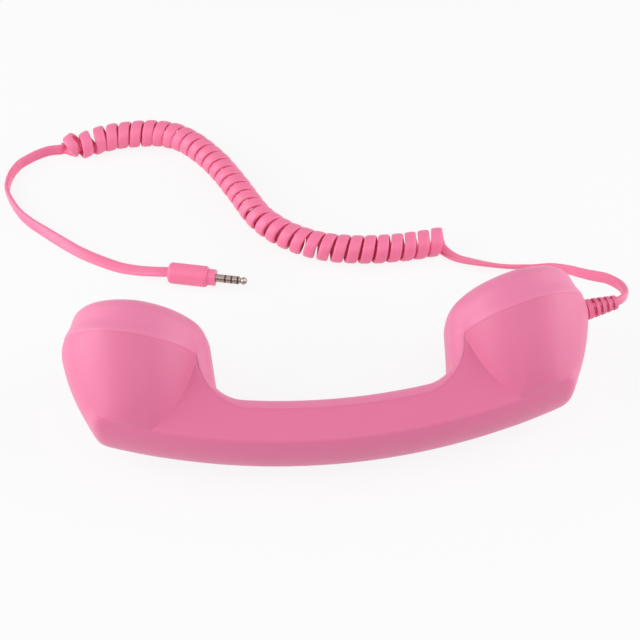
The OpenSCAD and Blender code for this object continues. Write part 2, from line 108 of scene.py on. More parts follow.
def row(p):
    """Handset points in mm as frame points in metres."""
    p = np.asarray(p, float)
    u, v, w = p[..., 0], p[..., 1], p[..., 2]
    return np.stack([u, v * TILT_COS - w * TILT_SIN + LIE_Y, w * TILT_COS + v * TILT_SIN + LIE_Z], -1) / 1000


def row_dir(p):
    """Handset directions as frame directions."""
    u, v, w = p[..., 0], p[..., 1], p[..., 2]
    return np.stack([u, v * TILT_COS - w * TILT_SIN, w * TILT_COS + v * TILT_SIN], -1)


# ---------------------------------------------------------------- helpers
def add_object(name, data):
    thing = bpy.data.objects.new(name, data)
    bpy.context.scene.collection.objects.link(thing)
    return thing


def aim(thing, place, target):
    """Set a camera or a lamp at a place, turned toward a target."""
    thing.location = place
    thing.rotation_euler = (Vector(target) - Vector(place)).to_track_quat("-Z", "Y").to_euler()


def mesh_piece(name, points, faces, material, slot):
    mesh = bpy.data.meshes.new(name)
    mesh.from_pydata(points.tolist(), [], faces)
    mesh.materials.append(material)
    mesh.shade_smooth()
    piece = add_object(name, mesh)
    return piece


def circle(x, y, r, count, start=0.0):
    """The points of a circle, as (x, y) pairs."""
    turns = [start + 2 * math.pi * k / count for k in range(count)]
    return [(x + r * math.cos(a), y + r * math.sin(a)) for a in turns]


def band_faces(rings, count, start=0):
    """Quads between neighbouring rings of count points each. The first ring's points begin at start."""
    return [(start + i * count + k, start + i * count + (k + 1) % count,
             start + (i + 1) * count + (k + 1) % count, start + (i + 1) * count + k)
            for i in range(rings - 1) for k in range(count)]


def unit(v):
    return v / np.linalg.norm(v, axis=-1, keepdims=True)


# ---------------------------------------------------------------- camera
camera = add_object("camera", bpy.data.cameras.new("camera"))
aim(camera, (-0.0345, -0.28101, 0.3935), (0.0003, 0.0471, 0.0))
camera.data.sensor_width = 36
camera.data.angle = math.radians(30.1)
camera.data.clip_start = 0.01
bpy.context.scene.camera = camera


# ---------------------------------------------------------------- materials
def nodes_of(name):
    """A new material, its node tree and its shader."""
    material = bpy.data.materials.new(name)
    material.use_nodes = True
    tree = material.node_tree
    return material, tree, tree.nodes["Principled BSDF"]


def rgb(r, g, b):
    """An sRGB colour of 0 to 255 as a linear one."""
    out = []
    for c in (r, g, b):
        c /= 255
        out.append(c / 12.92 if c <= 0.04045 else ((c + 0.055) / 1.055) ** 2.4)
    return (*out, 1)


def noise(tree, scale, detail):
    """A noise of 0 to 1 that stays with the object."""
    coord = tree.nodes.new("ShaderNodeTexCoord")
    tex = tree.nodes.new("ShaderNodeTexNoise")
    tex.inputs["Scale"].default_value = scale
    tex.inputs["Detail"].default_value = detail
    tex.inputs["Roughness"].default_value = 0.55
    tree.links.new(coord.outputs["Object"], tex.inputs["Vector"])
    return tex.outputs["Fac"]


def mix_colours(tree, factor, a, b):
    mix = tree.nodes.new("ShaderNodeMix")
    mix.data_type = "RGBA"
    mix.inputs[6].default_value, mix.inputs[7].default_value = a, b
    tree.links.new(factor, mix.inputs[0])
    return mix.outputs[2]


def span(tree, value, low, high):
    """A value of 0 to 1 spread from low to high."""
    node = tree.nodes.new("ShaderNodeMapRange")
    node.inputs["To Min"].default_value, node.inputs["To Max"].default_value = low, high
    tree.links.new(value, node.inputs["Value"])
    return node.outputs["Result"]


def bump(tree, height, strength, distance):
    node = tree.nodes.new("ShaderNodeBump")
    node.inputs["Strength"].default_value = strength
    node.inputs["Distance"].default_value = distance
    tree.links.new(height, node.inputs["Height"])
    return node.outputs["Normal"]


def moulded(name, colour, deeper, roughness, grain=2600, relief=0.00002, sheen=0.0, gloss=0.5):
    """Moulded plastic: a fine spark-eroded grain, and a faint drift in colour and in gloss."""
    material, tree, shader = nodes_of(name)
    drift = noise(tree, scale=22, detail=2)
    tree.links.new(mix_colours(tree, drift, colour, deeper), shader.inputs["Base Color"])
    cloud = noise(tree, scale=90, detail=4)
    tree.links.new(span(tree, cloud, roughness - 0.05, roughness + 0.05), shader.inputs["Roughness"])
    fine = noise(tree, scale=grain, detail=2)
    tree.links.new(bump(tree, fine, 0.35, relief), shader.inputs["Normal"])
    shader.inputs["Specular IOR Level"].default_value = gloss
    shader.inputs["Sheen Weight"].default_value = sheen
    shader.inputs["Sheen Roughness"].default_value = 0.5
    return material


def metal(name, colour, roughness):
    """Plated metal: a drift in colour and in gloss, and a very fine grain."""
    material, tree, shader = nodes_of(name)
    shader.inputs["Metallic"].default_value = 1.0
    drift = noise(tree, scale=700, detail=3)
    darker = (*(c * 0.86 for c in colour[:3]), 1)
    tree.links.new(mix_colours(tree, drift, colour, darker), shader.inputs["Base Color"])
    tree.links.new(span(tree, drift, roughness - 0.05, roughness + 0.08), shader.inputs["Roughness"])
    fine = noise(tree, scale=3000, detail=2)
    tree.links.new(bump(tree, fine, 0.15, 0.00001), shader.inputs["Normal"])
    return material


def cloth():
    """Black acoustic cloth: a fine square weave."""
    material, tree, shader = nodes_of("acoustic_cloth")
    coord = tree.nodes.new("ShaderNodeTexCoord")
    weave = tree.nodes.new("ShaderNodeTexChecker")
    weave.inputs["Scale"].default_value = 3200
    weave.inputs["Color1"].default_value = rgb(40, 40, 42)
    weave.inputs["Color2"].default_value = rgb(16, 16, 18)
    tree.links.new(coord.outputs["Object"], weave.inputs["Vector"])
    tree.links.new(weave.outputs["Color"], shader.inputs["Base Color"])
    tree.links.new(bump(tree, weave.outputs["Fac"], 0.5, 0.00005), shader.inputs["Normal"])
    shader.inputs["Roughness"].default_value = 0.9
    return material


PINK = moulded("soft_touch_pink", rgb(235, 115, 160), rgb(232, 111, 156), 0.5, sheen=0.2, gloss=0.7)
# The face shell, its grilles and the screw plugs get a lighter copy of the same pink. The lift is painted
# light, standing in for the extra light that falls on the caps' upper surfaces.
LIT_PINK_FACE = moulded("soft_touch_pink_face_painted_light", rgb(244, 130, 174), rgb(241, 126, 170), 0.5, sheen=0.2, gloss=0.7)
CORD_PINK = moulded("cord_pink", rgb(255, 134, 174), rgb(254, 126, 167), 0.38, grain=1800, relief=0.00001)
RELIEF_PINK = moulded("relief_pink", rgb(246, 126, 165), rgb(240, 118, 158), 0.42, grain=1800)
BUTTON_PINK = moulded("button_pink", rgb(245, 150, 185), rgb(241, 144, 180), 0.45)
NICKEL = metal("nickel", rgb(168, 156, 146), 0.24)
ZINC = metal("zinc_plate", rgb(190, 192, 196), 0.34)
MAGNET = metal("magnet_plate", rgb(168, 170, 174), 0.3)
BLACK_RING = moulded("ring_black", rgb(34, 28, 26), rgb(26, 22, 20), 0.35)
BLACK_PLASTIC = moulded("black_plastic", rgb(36, 36, 39), rgb(28, 28, 31), 0.5)
BLACK_RUBBER = moulded("black_rubber", rgb(34, 34, 35), rgb(26, 26, 27), 0.75)
BOARD = moulded("solder_mask", rgb(22, 92, 52), rgb(16, 78, 44), 0.32, grain=900)
FILM = moulded("pressed_film", rgb(86, 76, 66), rgb(74, 66, 58), 0.6)
WIRE_RED = moulded("wire_red", rgb(186, 34, 28), rgb(170, 28, 24), 0.4)
WIRE_BLUE = moulded("wire_blue", rgb(34, 74, 150), rgb(28, 62, 134), 0.4)
WIRE_BLACK = moulded("wire_black", rgb(32, 32, 33), rgb(24, 24, 25), 0.42)
CLOTH = cloth()

# The solids that each material is on.
DRESS = (
    (PINK, ("outer_shell",)),
    (LIT_PINK_FACE, ("inner_shell", "screw_plugs")),
    (BUTTON_PINK, ("answer_button",)),
    (RELIEF_PINK, ("strain_relief",)),
    (CORD_PINK, ("exit_lead", "cord_coil", "plug_lead", "plug_body", "plug_collar")),
    (NICKEL, ("jack_sleeve", "jack_ring_2", "jack_ring_1", "jack_tip")),
    (BLACK_RING, ("jack_insulators",)),
    (ZINC, ("button_spring", "handle_weight", "speaker_clamp", "cord_clamp")),
    (ZINC, ("board_screws", "weight_screws", "shell_screws", "speaker_screws", "clamp_screws")),
    (MAGNET, ("speaker_magnet", "microphone")),
    (BLACK_PLASTIC, ("tact_switch", "speaker_frame")),
    (BLACK_RUBBER, ("speaker_gasket", "mic_boot")),
    (BOARD, ("switch_board",)),
    (FILM, ("speaker_cone",)),
    (CLOTH, ("ear_screen", "mouth_screen")),
    (WIRE_RED, ("ear_wires",)),
    (WIRE_BLUE, ("mic_wires",)),
    (WIRE_BLACK, ("button_wires",)),
)
for material, nodes in DRESS:
    for node in nodes:
        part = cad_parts[node]
        part.data.materials.clear()
        part.data.materials.append(material)


# ---------------------------------------------------------------- cord
# From inside the handset to the coil. The first INSIDE points can't be seen, and aren't drawn.
INSIDE = 4
EXIT_PTS = [[86, 2.67, 24.6], [91, 5.27, 25.5], [95.5, 10.47, 27.3], [99.5, 15.27, 29], [104, 16.47, 29.4],
            [110, 17.57, 29.8], [116.5, 18.57, 30.1], [120.9, 21, 29.5], [123.9, 25.8, 26.8],
            [124.3, 33, 23.5], [121.5, 39.9, 20.3], [118.9, 44.4, 17.1], [116.2, 48.6, 14], [113.4, 53.1, 11],
            [110.6, 57.6, 8], [104, 63.9, 3.8], [95.5, 65.8, 2.3], [86.8, 67.2, 2.2], [78.2, 69.6, 2.2],
            [69.8, 72.6, 2.2]]
# The coil's axis, from its plug end to its handset end.
COIL_PTS = [[-116, 163.2], [-112, 163.4], [-108, 163.7], [-101, 164.1], [-95, 166.7], [-85.5, 168.7],
            [-75.5, 169.1], [-66, 168.3], [-56, 164.1], [-47, 155.3], [-38, 141.9], [-29.6, 124.5],
            [-21.6, 106.5], [-13.2, 96.1], [-4.6, 89.5], [4, 85.1], [13, 82.3], [26, 80.3], [39, 80.1],
            [48, 80.7], [56, 81.7], [62, 82.5]]
# From the coil to the plug.
LEAD_PTS = [[-115, 165.7, 2.4], [-119.5, 165.5, 2.4], [-124.5, 163.5, 2.4], [-129, 160.7, 2.4],
            [-133.6, 156.7, 2.4], [-137, 149.9, 2.4], [-138.3, 141.7, 2.4], [-136.6, 134.3, 2.4],
            [-131.8, 124.3, 2.3], [-126.4, 117.3, 2], [-121, 112.1, 1.7], [-112.4, 104.3, 1.3],
            [-103.4, 96.7, 1.2], [-94.4, 90.7, 1.2], [-85.4, 85.7, 1.4], [-76.6, 82, 2.4], [-69.5, 79.3, 3.9],
            [-64.5, 77.9, 4.6], [-61.5, 77.1, 4.7]]
# How far along each lead (0 to 1) its width stands at which angle from level.
EXIT_TWIST = ((0, 90), (0.45, 90), (0.62, 80), (0.75, 60), (0.88, 45), (1, 22))
LEAD_TWIST = ((0, 100), (0.15, 96), (0.3, 90), (0.4, 80), (0.5, 62), (0.6, 42), (0.72, 22), (0.85, 8), (1, 0))
LEAD_STEP, AXIS_STEP, PER_TURN, CURVE_STEPS = 1.5, 0.25, 36, 24
# What the coil leaves bare at the two ends of its axis, and where on its ring it starts.
BARE_START, BARE_END, FIRST_TURN = 4.4, 3.0, 0.9 * math.pi
# Near the plug's lead the turns are pulled apart, by PULLED in all and over a few turns. They also stand
# askew, turned about the upright and leaning back, which fades along the axis. The last turns are turned a
# little the other way.
PULLED, PULLED_TURNS = 2.6, 1.2
ASKEW, LEAN_BACK, ASKEW_RUN, ASKEW_FADE = 50, 34, 8.5, 1.3
END_ASKEW, END_RUN = 8, 7
# Two slight waves in the coil's radius: how much, how often and from which phase.
UNEVEN = ((0.006, 0.37, 0), (0.005, 1.13, 1))
# The bends that join coil and leads: how hard they pull, and their number of rings.
EXIT_PULL, EXIT_RINGS, LEAD_PULL, LEAD_RINGS = 13, 9, 12, 8
FLOOR_FREE = 0.25


def run_of(line):
    """How far along a line each of its points is."""
    return np.concatenate([[0], np.cumsum(np.linalg.norm(np.diff(line, axis=0), axis=1))])


def pick(line, run, at):
    """The points of a line at the given distances along it."""
    return np.stack([np.interp(at, run, line[:, k]) for k in range(line.shape[1])], 1)


def smooth_line(points, step):
    """A Catmull-Rom curve through the points, with a point about every step."""
    p = np.array(points, float)
    p = np.vstack([2 * p[0] - p[1], p, 2 * p[-1] - p[-2]])
    out = []
    for a, b, c, d in zip(p, p[1:], p[2:], p[3:]):
        for t in np.linspace(0, 1, CURVE_STEPS, endpoint=False):
            out.append(0.5 * (2 * b + (c - a) * t + (2 * a - 5 * b + 4 * c - d) * t ** 2
                              + (3 * b - a - 3 * c + d) * t ** 3))
    out = np.array(out + [p[-2]])
    run = run_of(out)
    return pick(out, run, np.linspace(0, run[-1], max(2, round(run[-1] / step) + 1)))


def tangents(p):
    return unit(np.gradient(p, axis=0))


def helix():
    """Ring centres and outward directions of the coil, which is left-handed, from plug end to handset end."""
    axis = smooth_line([[x, y, COIL_R] for x, y in COIL_PTS], AXIS_STEP)
    run = run_of(axis)
    turns = np.linspace(0, TURNS, TURNS * PER_TURN + 1)
    even = (run[-1] - BARE_START - BARE_END - PULLED) * turns / TURNS
    at = BARE_START + even + PULLED * (1 - np.exp(-turns / PULLED_TURNS))
    centre = pick(axis, run, at)
    along = tangents(centre)

    fresh = np.exp(-((at - at[0]) / ASKEW_RUN) ** ASKEW_FADE)
    yaw = np.radians(ASKEW * fresh - END_ASKEW * np.exp(-(at[-1] - at) / END_RUN))
    lean = np.radians(LEAN_BACK * fresh)[:, None]
    level = unit(np.stack([along[:, 0] * np.cos(yaw) - along[:, 1] * np.sin(yaw),
                           along[:, 0] * np.sin(yaw) + along[:, 1] * np.cos(yaw), 0 * yaw], 1))
    up = UP * np.cos(lean) - level * np.sin(lean)
    side = np.cross(level * np.cos(lean) + UP * np.sin(lean), up)

    turn = (FIRST_TURN + 2 * math.pi * turns)[:, None]
    out = up * np.cos(turn) - side * np.sin(turn)
    uneven = 1 + sum(much * np.sin(turn * often + phase) for much, often, phase in UNEVEN)
    return centre + out * (COIL_R - CORD_T / 2) * uneven, out


def bridge(p, dp, q, dq, count):
    """The points of a smooth curve from p, leaving along dp, to q, arriving along dq."""
    t = np.linspace(0, 1, count + 2)[1:-1, None]
    return ((2 * t ** 3 - 3 * t ** 2 + 1) * p + (t ** 3 - 2 * t ** 2 + t) * dp
            + (3 * t ** 2 - 2 * t ** 3) * q + (t ** 3 - t ** 2) * dq)


def fade(a, b, count):
    """Directions that turn softly from a to b."""
    t = np.linspace(0, 1, count + 2)[1:-1, None]
    t = t * t * (3 - 2 * t)
    return a * (1 - t) + b * t


def twisted(along, twist):
    """Width directions of a lead, twisted about its run."""
    angle = np.radians(np.interp(np.linspace(0, 1, len(along)), *zip(*twist)))[:, None]
    return unit(np.cross(UP, along)) * np.cos(angle) + UP * np.sin(angle)


def lay_cord():
    """Ring centres and width directions of the whole cord, from the strain relief to the plug."""
    coil, coil_out = (x[::-1] for x in helix())
    exit_run, lead_run = smooth_line(EXIT_PTS[INSIDE:], LEAD_STEP), smooth_line(LEAD_PTS, LEAD_STEP)
    d_exit, d_coil, d_lead = tangents(exit_run), tangents(coil), tangents(lead_run)
    first = bridge(exit_run[-1], d_exit[-1] * EXIT_PULL, coil[0], d_coil[0] * EXIT_PULL, EXIT_RINGS)
    last = bridge(coil[-1], d_coil[-1] * LEAD_PULL, lead_run[0], d_lead[0] * LEAD_PULL, LEAD_RINGS)
    line = np.vstack([exit_run, first, coil, last, lead_run])
    along = tangents(line)

    w_exit, w_lead = twisted(d_exit, EXIT_TWIST), twisted(d_lead, LEAD_TWIST)
    w_coil = unit(np.cross(d_coil, coil_out))
    if w_coil[0] @ w_exit[-1] < 0:
        w_coil = -w_coil
    if w_coil[-1] @ w_lead[0] < 0:
        w_lead = -w_lead
    wide = np.vstack([w_exit, fade(w_exit[-1], w_coil[0], EXIT_RINGS), w_coil,
                      fade(w_coil[-1], w_lead[0], LEAD_RINGS), w_lead])
    wide = unit(wide - along * np.sum(wide * along, 1)[:, None])

    rise = wide[:, 2]
    half_height = np.hypot(rise * CORD_W / 2, np.sqrt(1 - rise ** 2) * CORD_T / 2)
    line[:, 2] = np.maximum(line[:, 2], FLOOR_FREE + half_height)
    return line, wide


def ribbon(line, wide):
    """The cord's flat section, a superellipse, drawn along a line: its points in metres and its faces."""
    sides, power = 16, 2 / 3
    a = 2 * math.pi * (np.arange(sides) + 0.5) / sides
    x = CORD_W / 2 * np.sign(np.cos(a)) * np.abs(np.cos(a)) ** power
    y = CORD_T / 2 * np.sign(np.sin(a)) * np.abs(np.sin(a)) ** power
    thin = unit(np.cross(tangents(line), wide))
    points = line[:, None] + wide[:, None] * x[None, :, None] + thin[:, None] * y[None, :, None]
    faces = [f[::-1] for f in band_faces(len(line), sides)]
    last = (len(line) - 1) * sides
    faces += [tuple(range(sides)), tuple(range(last + sides - 1, last - 1, -1))]
    return points.reshape(-1, 3) / 1000, faces


cord_line, cord_wide = lay_cord()
cord = mesh_piece("curly_cord", *ribbon(cord_line, cord_wide), CORD_PINK, "cord")
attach(cord, "handset")
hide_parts("exit_lead", "cord_coil", "plug_lead")


# ---------------------------------------------------------------- handset forms: distances, negative inside
def ramp(x, start, end):
    """0 up to start and 1 from end on, with a straight slope between them."""
    return np.clip((x - start) / (end - start), 0, 1)


def soft_max(a, b, k):
    """What is inside both a and b, blended over a width of k."""
    h = np.maximum(k - np.abs(a - b), 0) / k
    return np.maximum(a, b) + h * h * k / 4


def soft_min(a, b, k):
    """What is inside a or b, blended over a width of k."""
    h = np.maximum(k - np.abs(a - b), 0) / k
    return np.minimum(a, b) - h * h * k / 4


def rounded(a, b, r):
    """The smaller of a and b, with the corner where both are small rounded to r."""
    return np.maximum(r, np.minimum(a, b)) - np.hypot(np.maximum(r - a, 0), np.maximum(r - b, 0))


def from_arc(u, v):
    """Distance from the centre that the handle's arcs share."""
    return np.hypot(u, v - ARC_V)


def turned(u, v, u0, v0, lean):
    """Distances across and along an axis through u0, v0 that leans toward the handset's middle."""
    c, s = math.cos(math.radians(lean)), math.sin(math.radians(lean))
    return (u - u0) * c + (v - v0) * s, (v - v0) * c - (u - u0) * s


def cap_axes(u, v):
    return turned(u, v, CAP_U, CUP_V, CAP_LEAN)


def seam(u, v):
    """Distance above the seam between bowl and cap."""
    return turned(u, v, SEAM_U, CUP_V, SEAM_LEAN)[1]


def contour(u, v):
    """Distance outside the inner contour of handle and necks, which meets the cups at an edge."""
    bend = rounded(INNER_R - from_arc(u, v), NECK_BEND_U - u, NECK_BEND_R)
    return np.minimum(bend, NECK_U + NECK_SLOPE * (v - NECK_V) - u)


def parting(u, v):
    """Distance from the parting line toward the inner contour."""
    upright = PART_U - PART_DEEP + PART_SLOPE * (v - PART_V) - u
    return rounded(INNER_R - from_arc(u, v), upright, PART_BEND_R) + PART_DEEP


def parting_gap(v):
    """Half of the fine gap along the parting line. It is wider up the necks."""
    return GAP + GAP_MORE * ramp(v, *GAP_V)


def crown(u, v, w):
    """The handle's round back."""
    return np.hypot(np.maximum(from_arc(u, v) - CROWN_ARC, 0), w) - CROWN_R


def rim_drop(u, v):
    """How far the outer end draws in below the seam."""
    return RIM_DROP * ramp(u, *RIM_U) * ramp(seam(u, v), -RIM_DEEP, 0) ** 2


def handle(u, v, w):
    """The handle with its necks. It runs on through the bowls to the handset's ends."""
    deep = contour(u, v)
    deep = BAND_DEEP * deep / np.maximum(parting(u, v) - deep, BAND_LEAST)
    band = deep
    for (at_w, at_deep), (n_w, n_deep), blend in BAND_SLOPES:
        slope_off = (n_w * (w - at_w) + n_deep * (deep - at_deep)) / math.hypot(n_w, n_deep)
        band = soft_max(band, slope_off, blend)
    body = soft_max(soft_max(w - HALF_WIDTH, crown(u, v, w), SIDE_BLEND), band, BAND_BLEND)
    full = END_FULL + END_FULL_LESS * ramp(v, *END_FULL_V)
    reach = np.hypot(np.maximum(u - END_U, 0), full * w) + END_PAST - END_OUT * ramp(v, END_OUT_V, 0)
    ends = np.hypot(reach, v - BOWL_V) - BOWL_R - np.maximum(END_U - u, 0) + rim_drop(u, v)
    return soft_max(body, ends, END_BLEND)


def bowl_side(u, v, w):
    """The bowls' round side. It is drawn in a little at the middle of its lower flank."""
    low = np.clip(1 - v / FLANK_V, 0, 1.2)
    middle = np.clip(1 - ((u - FLANK_U) / FLANK_HALF) ** 2, 0, 1)
    around = np.hypot(u - BOWL_U, w * (1 + FLANK_IN * low ** 2 * middle))
    return np.hypot(around + BOWL_PAST, v - BOWL_V) - BOWL_R + rim_drop(u, v)


def bowl(u, v, w):
    under = np.minimum(crown(u, v, w), from_arc(u, v) - UNDER_R)
    return soft_max(soft_max(bowl_side(u, v, w), under, END_BLEND), seam(u, v) - PAST_SEAM, SEAM_BLEND)


def cap_side(u, v, w):
    """The caps' round side. It flares toward the outer end, to meet the bowl at the seam."""
    x, h = cap_axes(u, v)
    around = np.hypot(x, w)
    cone = (around - CAP_R + CAP_TAPER * h) / math.hypot(1, CAP_TAPER)
    join = ramp(x / np.maximum(around, 1), *FLARE) * ramp(seam(u, v), FLARE_HIGH, 0) ** 2
    return cone + (bowl_side(u, v, w) - cone) * join


def cap(u, v, w):
    """A cap, with an edge that is rounder toward the handset's middle."""
    x, h = cap_axes(u, v)
    edge_r = CAP_EDGE_R + CAP_EDGE_MORE * ramp(x, 0, -CAP_EDGE_RUN)
    return -rounded(-cap_side(u, v, w), CAP_TOP - h, edge_r)


def face_form(u, v, w):
    """The caps and the band between them."""
    x, h = cap_axes(u, v)
    stop = np.minimum(soft_max((h - x - STOP_SLANT) / math.sqrt(2), h - STOP_H, STOP_BLEND), h - STOP_TOP_H)
    neck = np.maximum(soft_max(handle(u, v, w), stop, STOP_TOP_BLEND), u - STOP_U)
    above = np.maximum(cap(u, v, w), -(seam(u, v) + CAP_BELOW_SEAM))
    return soft_min(above, neck, NECK_BLEND + NECK_BLEND_MORE * ramp(seam(u, v), 0, NECK_BLEND_HIGH))


def back_form(u, v, w):
    """The bowls and the handle's back."""
    return soft_min(bowl(u, v, w), np.maximum(handle(u, v, w), seam(u, v) - PAST_SEAM), CREASE_BLEND)


def face_limits(u, v, w):
    """What trims the face shell: the seam, the parting line and the holes in it."""
    x, h = cap_axes(u, v)
    recess = np.maximum(np.hypot(x, w) - RECESS_R, RECESS_FLOOR - h)
    button = np.maximum(np.hypot(u, w) - BUTTON_R - BUTTON_FREE, BUTTON_FLOOR - v)
    flange = np.maximum(np.hypot(u, w) - FLANGE_ROOM_R, v - FLANGE_ROOM_TOP)
    plug = np.maximum(np.hypot(u - PLUG_U, w) - PLUG_HOLE_R, PLUG_FLOOR - v)
    trim = np.minimum(GAP - seam(u, v), parting_gap(v) - parting(u, v))
    for hole in (recess, button, flange, plug):
        trim = np.maximum(trim, -hole)
    return trim


def back_limits(u, v, w):
    """What trims the back shell: the seam, the parting line and the room for the switch and its board."""
    room = np.maximum(np.maximum(u - ROOM_U, w - ROOM_W), from_arc(u, v) - ROOM_R)
    return np.maximum(np.maximum(GAP + seam(u, v), parting_gap(v) + parting(u, v)), -room)


# ---------------------------------------------------------------- handset shells from the forms
GRID_LOW_V, GRID_HIGH = -18, (105, 52, 31)
# How far a normal on the edge between form and limits turns toward the limits' side.
EDGE_TURN = 0.3
CORNERS = np.array(list(itertools.product((0, 1), repeat=3)))


def mirrored(form):
    """A form for points on both sides of the handset's middle."""
    def both(u, v, w):
        return form(np.abs(u), v, np.abs(w))
    return both


def slope(f, p, probe=0.05):
    """The step that a form asks for per unit of distance, to reach its surface."""
    g = np.stack([f(*(p + d).T) - f(*(p - d).T) for d in np.eye(3) * probe], 1) / (2 * probe)
    return g / np.maximum(np.linalg.norm(g, axis=1, keepdims=True), 1e-6) ** 2


def cells(x):
    """Every cell's eight corner values, as eight arrays in the order of CORNERS."""
    m = [s - 1 for s in x.shape]
    return [x[i:i + m[0], j:j + m[1], k:k + m[2]] for i, j, k in CORNERS]


def straddles(corner_values):
    return (corner_values.min(1) < 0) & (corner_values.max(1) > 0)


def crossings(corner_values):
    """The mean of the places where each cell's edges cross the surface, as a share of the cell."""
    total, hits = np.zeros((len(corner_values), 3)), np.zeros(len(corner_values))
    for i, j in itertools.combinations(range(8), 2):
        if np.abs(CORNERS[i] - CORNERS[j]).sum() == 1:
            a, b = corner_values[:, i], corner_values[:, j]
            cross = (a < 0) != (b < 0)
            t = np.where(cross, a / np.where(cross, a - b, 1), 0)[:, None]
            total += np.where(cross[:, None], CORNERS[i] + (CORNERS[j] - CORNERS[i]) * t, 0)
            hits += cross
    return total / hits[:, None]


def settle(p, form, limits, edge, reach):
    """Move points onto the form or its limits, and those on the edge onto both, by no more than reach."""
    start = p.copy()
    for _ in range(4):
        a, b = form(*p.T), limits(*p.T)
        on_form, on_limits = edge | (a >= b), edge | (b > a)
        p = p - np.where(on_form, a, 0)[:, None] * slope(form, p)
        p = p - np.where(on_limits, limits(*p.T), 0)[:, None] * slope(limits, p)
        p = start + np.clip(p - start, -reach, reach)
    return p


def net_faces(inside, index):
    """A quad around every grid line that crosses the surface, between the four cells beside it."""
    faces = []
    for axis in range(3):
        others = [k for k in range(3) if k != axis]
        near, far = [slice(1, -1)] * 3, [slice(1, -1)] * 3
        near[axis], far[axis] = slice(0, -1), slice(1, None)
        first, second = inside[tuple(near)], inside[tuple(far)]
        hit = np.argwhere(first != second)
        hit[:, others] += 1
        quad = []
        for back in ((1, 1), (0, 1), (0, 0), (1, 0)):
            cell = hit.copy()
            cell[:, others] -= back
            quad.append(index[tuple(cell.T)])
        quad = np.stack(quad, 1)
        keep = first[first != second] != (axis == 1)
        quad[~keep] = quad[~keep][:, ::-1]
        faces.append(quad)
    return np.vstack(faces)


def quarter(form, limits, step):
    """Surface nets of a form within its limits, over a quarter of the handset.

    It gives the points, their normals, the quads, and which points lie on the two mirror planes.
    """
    low = (-step / 2, GRID_LOW_V, -step / 2)
    axes = [low[k] + step * np.arange(math.ceil((GRID_HIGH[k] - low[k]) / step) + 1) for k in range(3)]
    form, limits = mirrored(form), mirrored(limits)
    grid = np.meshgrid(*axes, indexing="ij", sparse=True)
    a, b = form(*grid).astype(np.float32), limits(*grid).astype(np.float32)
    value = np.maximum(a, b)
    inside = value < 0
    count = sum(c.astype(np.uint8) for c in cells(inside))
    mixed = (count > 0) & (count < 8)
    where = np.argwhere(mixed)
    index = -np.ones(mixed.shape, int)
    index[mixed] = np.arange(len(where))

    cell_a, cell_b, cell = (np.stack([c[mixed] for c in cells(x)], 1) for x in (a, b, value))
    edge = straddles(cell_a) & straddles(cell_b)
    p = np.array(low) + step * (where + crossings(cell.astype(float)))
    p = settle(p, form, limits, edge, 0.9 * step)
    normal_a, normal_b = unit(slope(form, p)), unit(slope(limits, p))
    on_plane = (where[:, 0] == 0, where[:, 2] == 0)
    for axis, on in zip((0, 2), on_plane):
        p[on, axis] = 0
    on_form = (form(*p.T) >= limits(*p.T))[:, None]
    normal = np.where(edge[:, None], normal_a + EDGE_TURN * normal_b, np.where(on_form, normal_a, normal_b))
    for axis, on in zip((0, 2), on_plane):
        normal[on, axis] = 0
    return p, unit(normal), net_faces(inside, index), on_plane


def whole(p, n, faces, on_plane):
    """The quarter mirrored to both ends and both sides, sharing the points on the mirror planes."""
    for axis in (0, 2):
        plane, m = on_plane[axis // 2], len(p)
        other = np.where(plane, np.arange(m), np.cumsum(~plane) - 1 + m)
        q, qn = p[~plane].copy(), n[~plane].copy()
        q[:, axis] *= -1
        qn[:, axis] *= -1
        faces = np.vstack([faces, other[faces][:, ::-1]])
        p, n = np.vstack([p, q]), np.vstack([n, qn])
        on_plane = [np.concatenate([x, x[~plane]]) for x in on_plane]
    return p, n, faces


def shell(name, form, limits, material):
    p, n, faces = whole(*quarter(form, limits, STEP))
    mesh = bpy.data.meshes.new(name)
    mesh.vertices.add(len(p))
    mesh.vertices.foreach_set("co", row(p).ravel())
    mesh.loops.add(faces.size)
    mesh.loops.foreach_set("vertex_index", faces.ravel().astype(np.int32))
    mesh.polygons.add(len(faces))
    mesh.polygons.foreach_set("loop_start", np.arange(0, faces.size, 4, dtype=np.int32))
    mesh.update(calc_edges=True)
    mesh.validate()
    mesh.materials.append(material)
    mesh.shade_smooth()
    if len(mesh.vertices) == len(p):
        mesh.normals_split_custom_set_from_vertices(row_dir(n).tolist())
    piece = add_object(name, mesh)
    return piece


STEP = 0.58
back = shell("back_shell", back_form, back_limits, PINK)
face = shell("face_shell", face_form, face_limits, LIT_PINK_FACE)
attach(back, "handset")
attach(face, "handset")
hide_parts("outer_shell")
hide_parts("inner_shell")


# ---------------------------------------------------------------- grilles and button
def on_cap(x, h, w, side):
    """A point given by a cap's own axes, in the frame. side is -1 for the ear and 1 for the mouth."""
    lean = math.radians(CAP_LEAN)
    u = CAP_U + x * math.cos(lean) - h * math.sin(lean)
    return row((side * u, CUP_V + x * math.sin(lean) + h * math.cos(lean), w))


